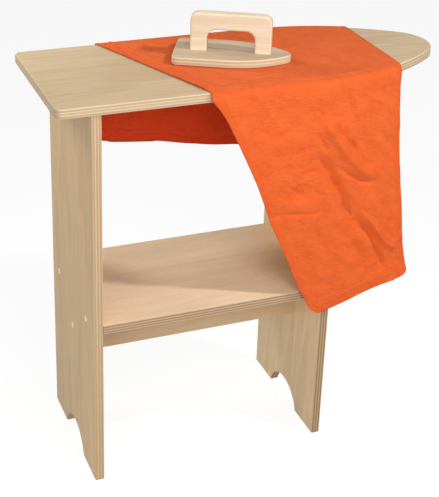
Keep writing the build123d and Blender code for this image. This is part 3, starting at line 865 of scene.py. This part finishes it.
def makePlainWeave():
    inputs = (("Place", "Vector", None), ("Threads", "Float", 1800.0))
    group, given, end = newGroup("plainWeave", inputs, ("Height",))
    parts = put(group, "ShaderNodeSeparateXYZ", {0: given["Place"]}).outputs
    turns = calc(group, "MULTIPLY", given["Threads"], math.pi)
    waves = [calc(group, "SINE", calc(group, "MULTIPLY", parts[axis], turns)) for axis in "XY"]
    ribs = calc(group, "ADD", *(calc(group, "ABSOLUTE", wave) for wave in waves))
    masks = {"ribs": ribs, "over": calc(group, "MULTIPLY", *waves)}
    feed(group, end, {"Height": weighed(group, masks, orangeCotton["weave"])})
    return group


plainWeave = makePlainWeave()


def cottonMaterial(name, colours, look=orangeCotton):
    material, tree, surface = newMaterial(name)
    pale, deep = colours
    place = put(tree, "ShaderNodeAttribute", attribute_name="clothPlace").outputs["Vector"]
    masks = {kind: noiseAt(tree, place, **look[kind]) for kind in look["shade"]}
    shade = ramp(tree, weighed(tree, masks, look["shade"]), *look["shadeRange"])
    colour = mixColour(tree, shade, pale, deep)
    # negative on a hem, where the doubled cloth looks deeper
    seamPlace = put(tree, "ShaderNodeSeparateXYZ", {0: place}).outputs["Z"]
    fromSeam = calc(tree, "ABSOLUTE", seamPlace)
    groove = ramp(tree, fromSeam, 0.0, look["seamWidth"] * mm, 1.0, 0.0)
    step = look["doubledStep"] * mm
    doubled = ramp(tree, seamPlace, -step, step, look["doubledShare"], 0.0)
    colour = mixColour(tree, doubled, colour, deep)
    # painted shade: the colour darkens towards the deep tone along the seam's groove
    colour = tint(tree, colour, groove, look["seamShadeShare"], deep)
    # the cloth puckers along its seams, and crinkles lie where a slow wave crosses its middle
    nearSeam = ramp(tree, fromSeam, 0.0, look["puckerWidth"] * mm, 1.0, 0.0)
    slowWave = calc(tree, "SUBTRACT", noiseAt(tree, place, **look["crinkles"]), 0.5)
    slowWave = calc(tree, "ABSOLUTE", slowWave)
    threads = 1 / (look["threadPitch"] * mm)
    masks = {
        "weave": useGroup(tree, plainWeave, {"Place": place, "Threads": threads})["Height"],
        "wrinkles": noiseAt(tree, place, **look["wrinkles"]),
        "puckers": calc(tree, "MULTIPLY", noiseAt(tree, place, **look["puckers"]), nearSeam),
        "seam": groove,
        "crinkles": ramp(tree, slowWave, 0.0, look["crinkleWidth"], 1.0, 0.0),
    }
    height = weighed(tree, masks, look["relief"])
    feed(tree, surface, {
        "Base Color": colour,
        "Roughness": look["roughness"],
        "Sheen Weight": look["sheen"],
        "Sheen Roughness": look["sheenRoughness"],
        "Sheen Tint": look["sheenTint"],
        "Specular IOR Level": look["specular"],
        "Normal": bumpFrom(tree, height, look["bump"], look["bumpDepth"]),
    })
    return material


def threadMaterial(look=orangeCotton):
    material, tree, surface = newMaterial("orange sewing thread")
    place = put(tree, "ShaderNodeTexCoord").outputs["Object"]
    twist = noiseAt(tree, place, **look["twist"])
    feed(tree, surface, {
        "Base Color": mixColour(tree, twist, look["thread"], look["outside"][0]),
        "Roughness": look["threadRoughness"],
        "Normal": bumpFrom(tree, twist, look["threadBump"], look["threadBumpDepth"]),
    })
    return material


# the inside material carries painted shade and red bounce light
for side in ("inside", "outside"):
    clothPiece.data.materials.append(cottonMaterial("orange cotton " + side, orangeCotton[side]))
stitchPiece.data.materials.append(threadMaterial())
for piece in (clothPiece, stitchPiece):
    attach(piece, "cloth")
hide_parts("ironing_cloth")


# floor, light and camera

paleFloor = {
    "half": 6000.0,
    "grey": (0.8, 0.8, 0.8, 1.0),           # what the object gets back from it
    # what the camera sees of it: a paler grey under a share of white glow
    "seenGrey": (0.95, 0.95, 0.95, 1.0),
    "glow": 1.06, "glowShare": 0.84,
}
# lamps: direction from the object, distance and size in metres, and as level how much they
# light a surface that faces them
lighting = {
    "surround": 0.17,                       # strength of the white all round, as light
    "backdrop": 1.0,                        # and as the camera sees it
    "aim": (0.0, 0.0, 0.38),                # metres, what all lamps point at
    "lamps": {
        "broad": {"from": (-0.08, -0.86, 0.50), "distance": 1.4, "size": 0.7, "level": 0.48},
        "clear": {"from": (0.50, -0.46, 0.73), "distance": 1.9, "size": 0.12, "level": 0.49},
        "rim": {"from": (-0.64, 0.50, 0.66), "distance": 1.0, "size": 0.25, "level": 0.36},
        "low": {"from": (-0.68, -0.66, 0.32), "distance": 2.0, "size": 1.2, "level": 0.27},
    },
}
view = {
    "place": (-0.6912, -1.6067, 1.2422),    # metres
    "turn": (65.1247, -1.8584, -21.5682),   # degrees
    "lens": 90.297, "sensor": 36.0, "shiftUp": -0.15,
}


def mixShaders(tree, factor, first, second):
    return put(tree, "ShaderNodeMixShader", {0: factor, 1: first, 2: second}).outputs[0]


def mixSeen(tree, hidden, seen):
    # seen is for the camera, also by way of metal and glass, and hidden is for all other light
    path = put(tree, "ShaderNodeLightPath").outputs
    looked = calc(tree, "ADD", path["Is Camera Ray"], path["Is Glossy Ray"])
    looked = calc(tree, "ADD", looked, path["Is Transmission Ray"], clamp=True)
    return mixShaders(tree, looked, hidden, seen)


def makeFloor():
    half = paleFloor["half"]
    corners = [(-half, -half, 0), (half, -half, 0), (half, half, 0), (-half, half, 0)]
    piece = newPiece("floor", corners, [(0, 1, 2, 3)], smooth=False)
    material = bpy.data.materials.new("pale floor")
    tree = emptyTree(material)
    plain, pale = (put(tree, "ShaderNodeBsdfDiffuse", {"Color": paleFloor[tone]}).outputs[0]
                   for tone in ("grey", "seenGrey"))
    light = {"Color": white, "Strength": paleFloor["glow"]}
    glow = put(tree, "ShaderNodeEmission", light).outputs[0]
    shown = mixShaders(tree, paleFloor["glowShare"], pale, glow)
    put(tree, "ShaderNodeOutputMaterial", {"Surface": mixSeen(tree, plain, shown)})
    piece.data.materials.append(material)


def makeLight():
    scene = bpy.context.scene
    scene.world = bpy.data.worlds.new("studio")
    tree = emptyTree(scene.world)
    around, backdrop = (
        put(tree, "ShaderNodeBackground", {"Color": white, "Strength": strength}).outputs[0]
        for strength in (lighting["surround"], lighting["backdrop"]))
    put(tree, "ShaderNodeOutputWorld", {"Surface": mixSeen(tree, around, backdrop)})
    for name, lamp in lighting["lamps"].items():
        way = Vector(lamp["from"]).normalized()
        data = bpy.data.lights.new(name, "AREA")
        data.shape = "DISK"
        data.size = lamp["size"]
        data.energy = lamp["level"] * math.pi ** 2 * lamp["distance"] ** 2
        light = bpy.data.objects.new(name, data)
        light.location = Vector(lighting["aim"]) + way * lamp["distance"]
        light.rotation_mode = "QUATERNION"
        light.rotation_quaternion = way.to_track_quat("Z", "Y")
        scene.collection.objects.link(light)


def makeCamera():
    scene = bpy.context.scene
    data = bpy.data.cameras.new("camera")
    data.lens = view["lens"]
    data.sensor_width = view["sensor"]
    data.shift_y = view["shiftUp"]
    camera = bpy.data.objects.new("camera", data)
    camera.location = view["place"]
    camera.rotation_euler = [math.radians(a) for a in view["turn"]]
    scene.collection.objects.link(camera)
    scene.camera = camera
    scene.view_settings.view_transform = "Standard"


makeFloor()
makeLight()
makeCamera()
print("stage 4: floor, light and camera set")
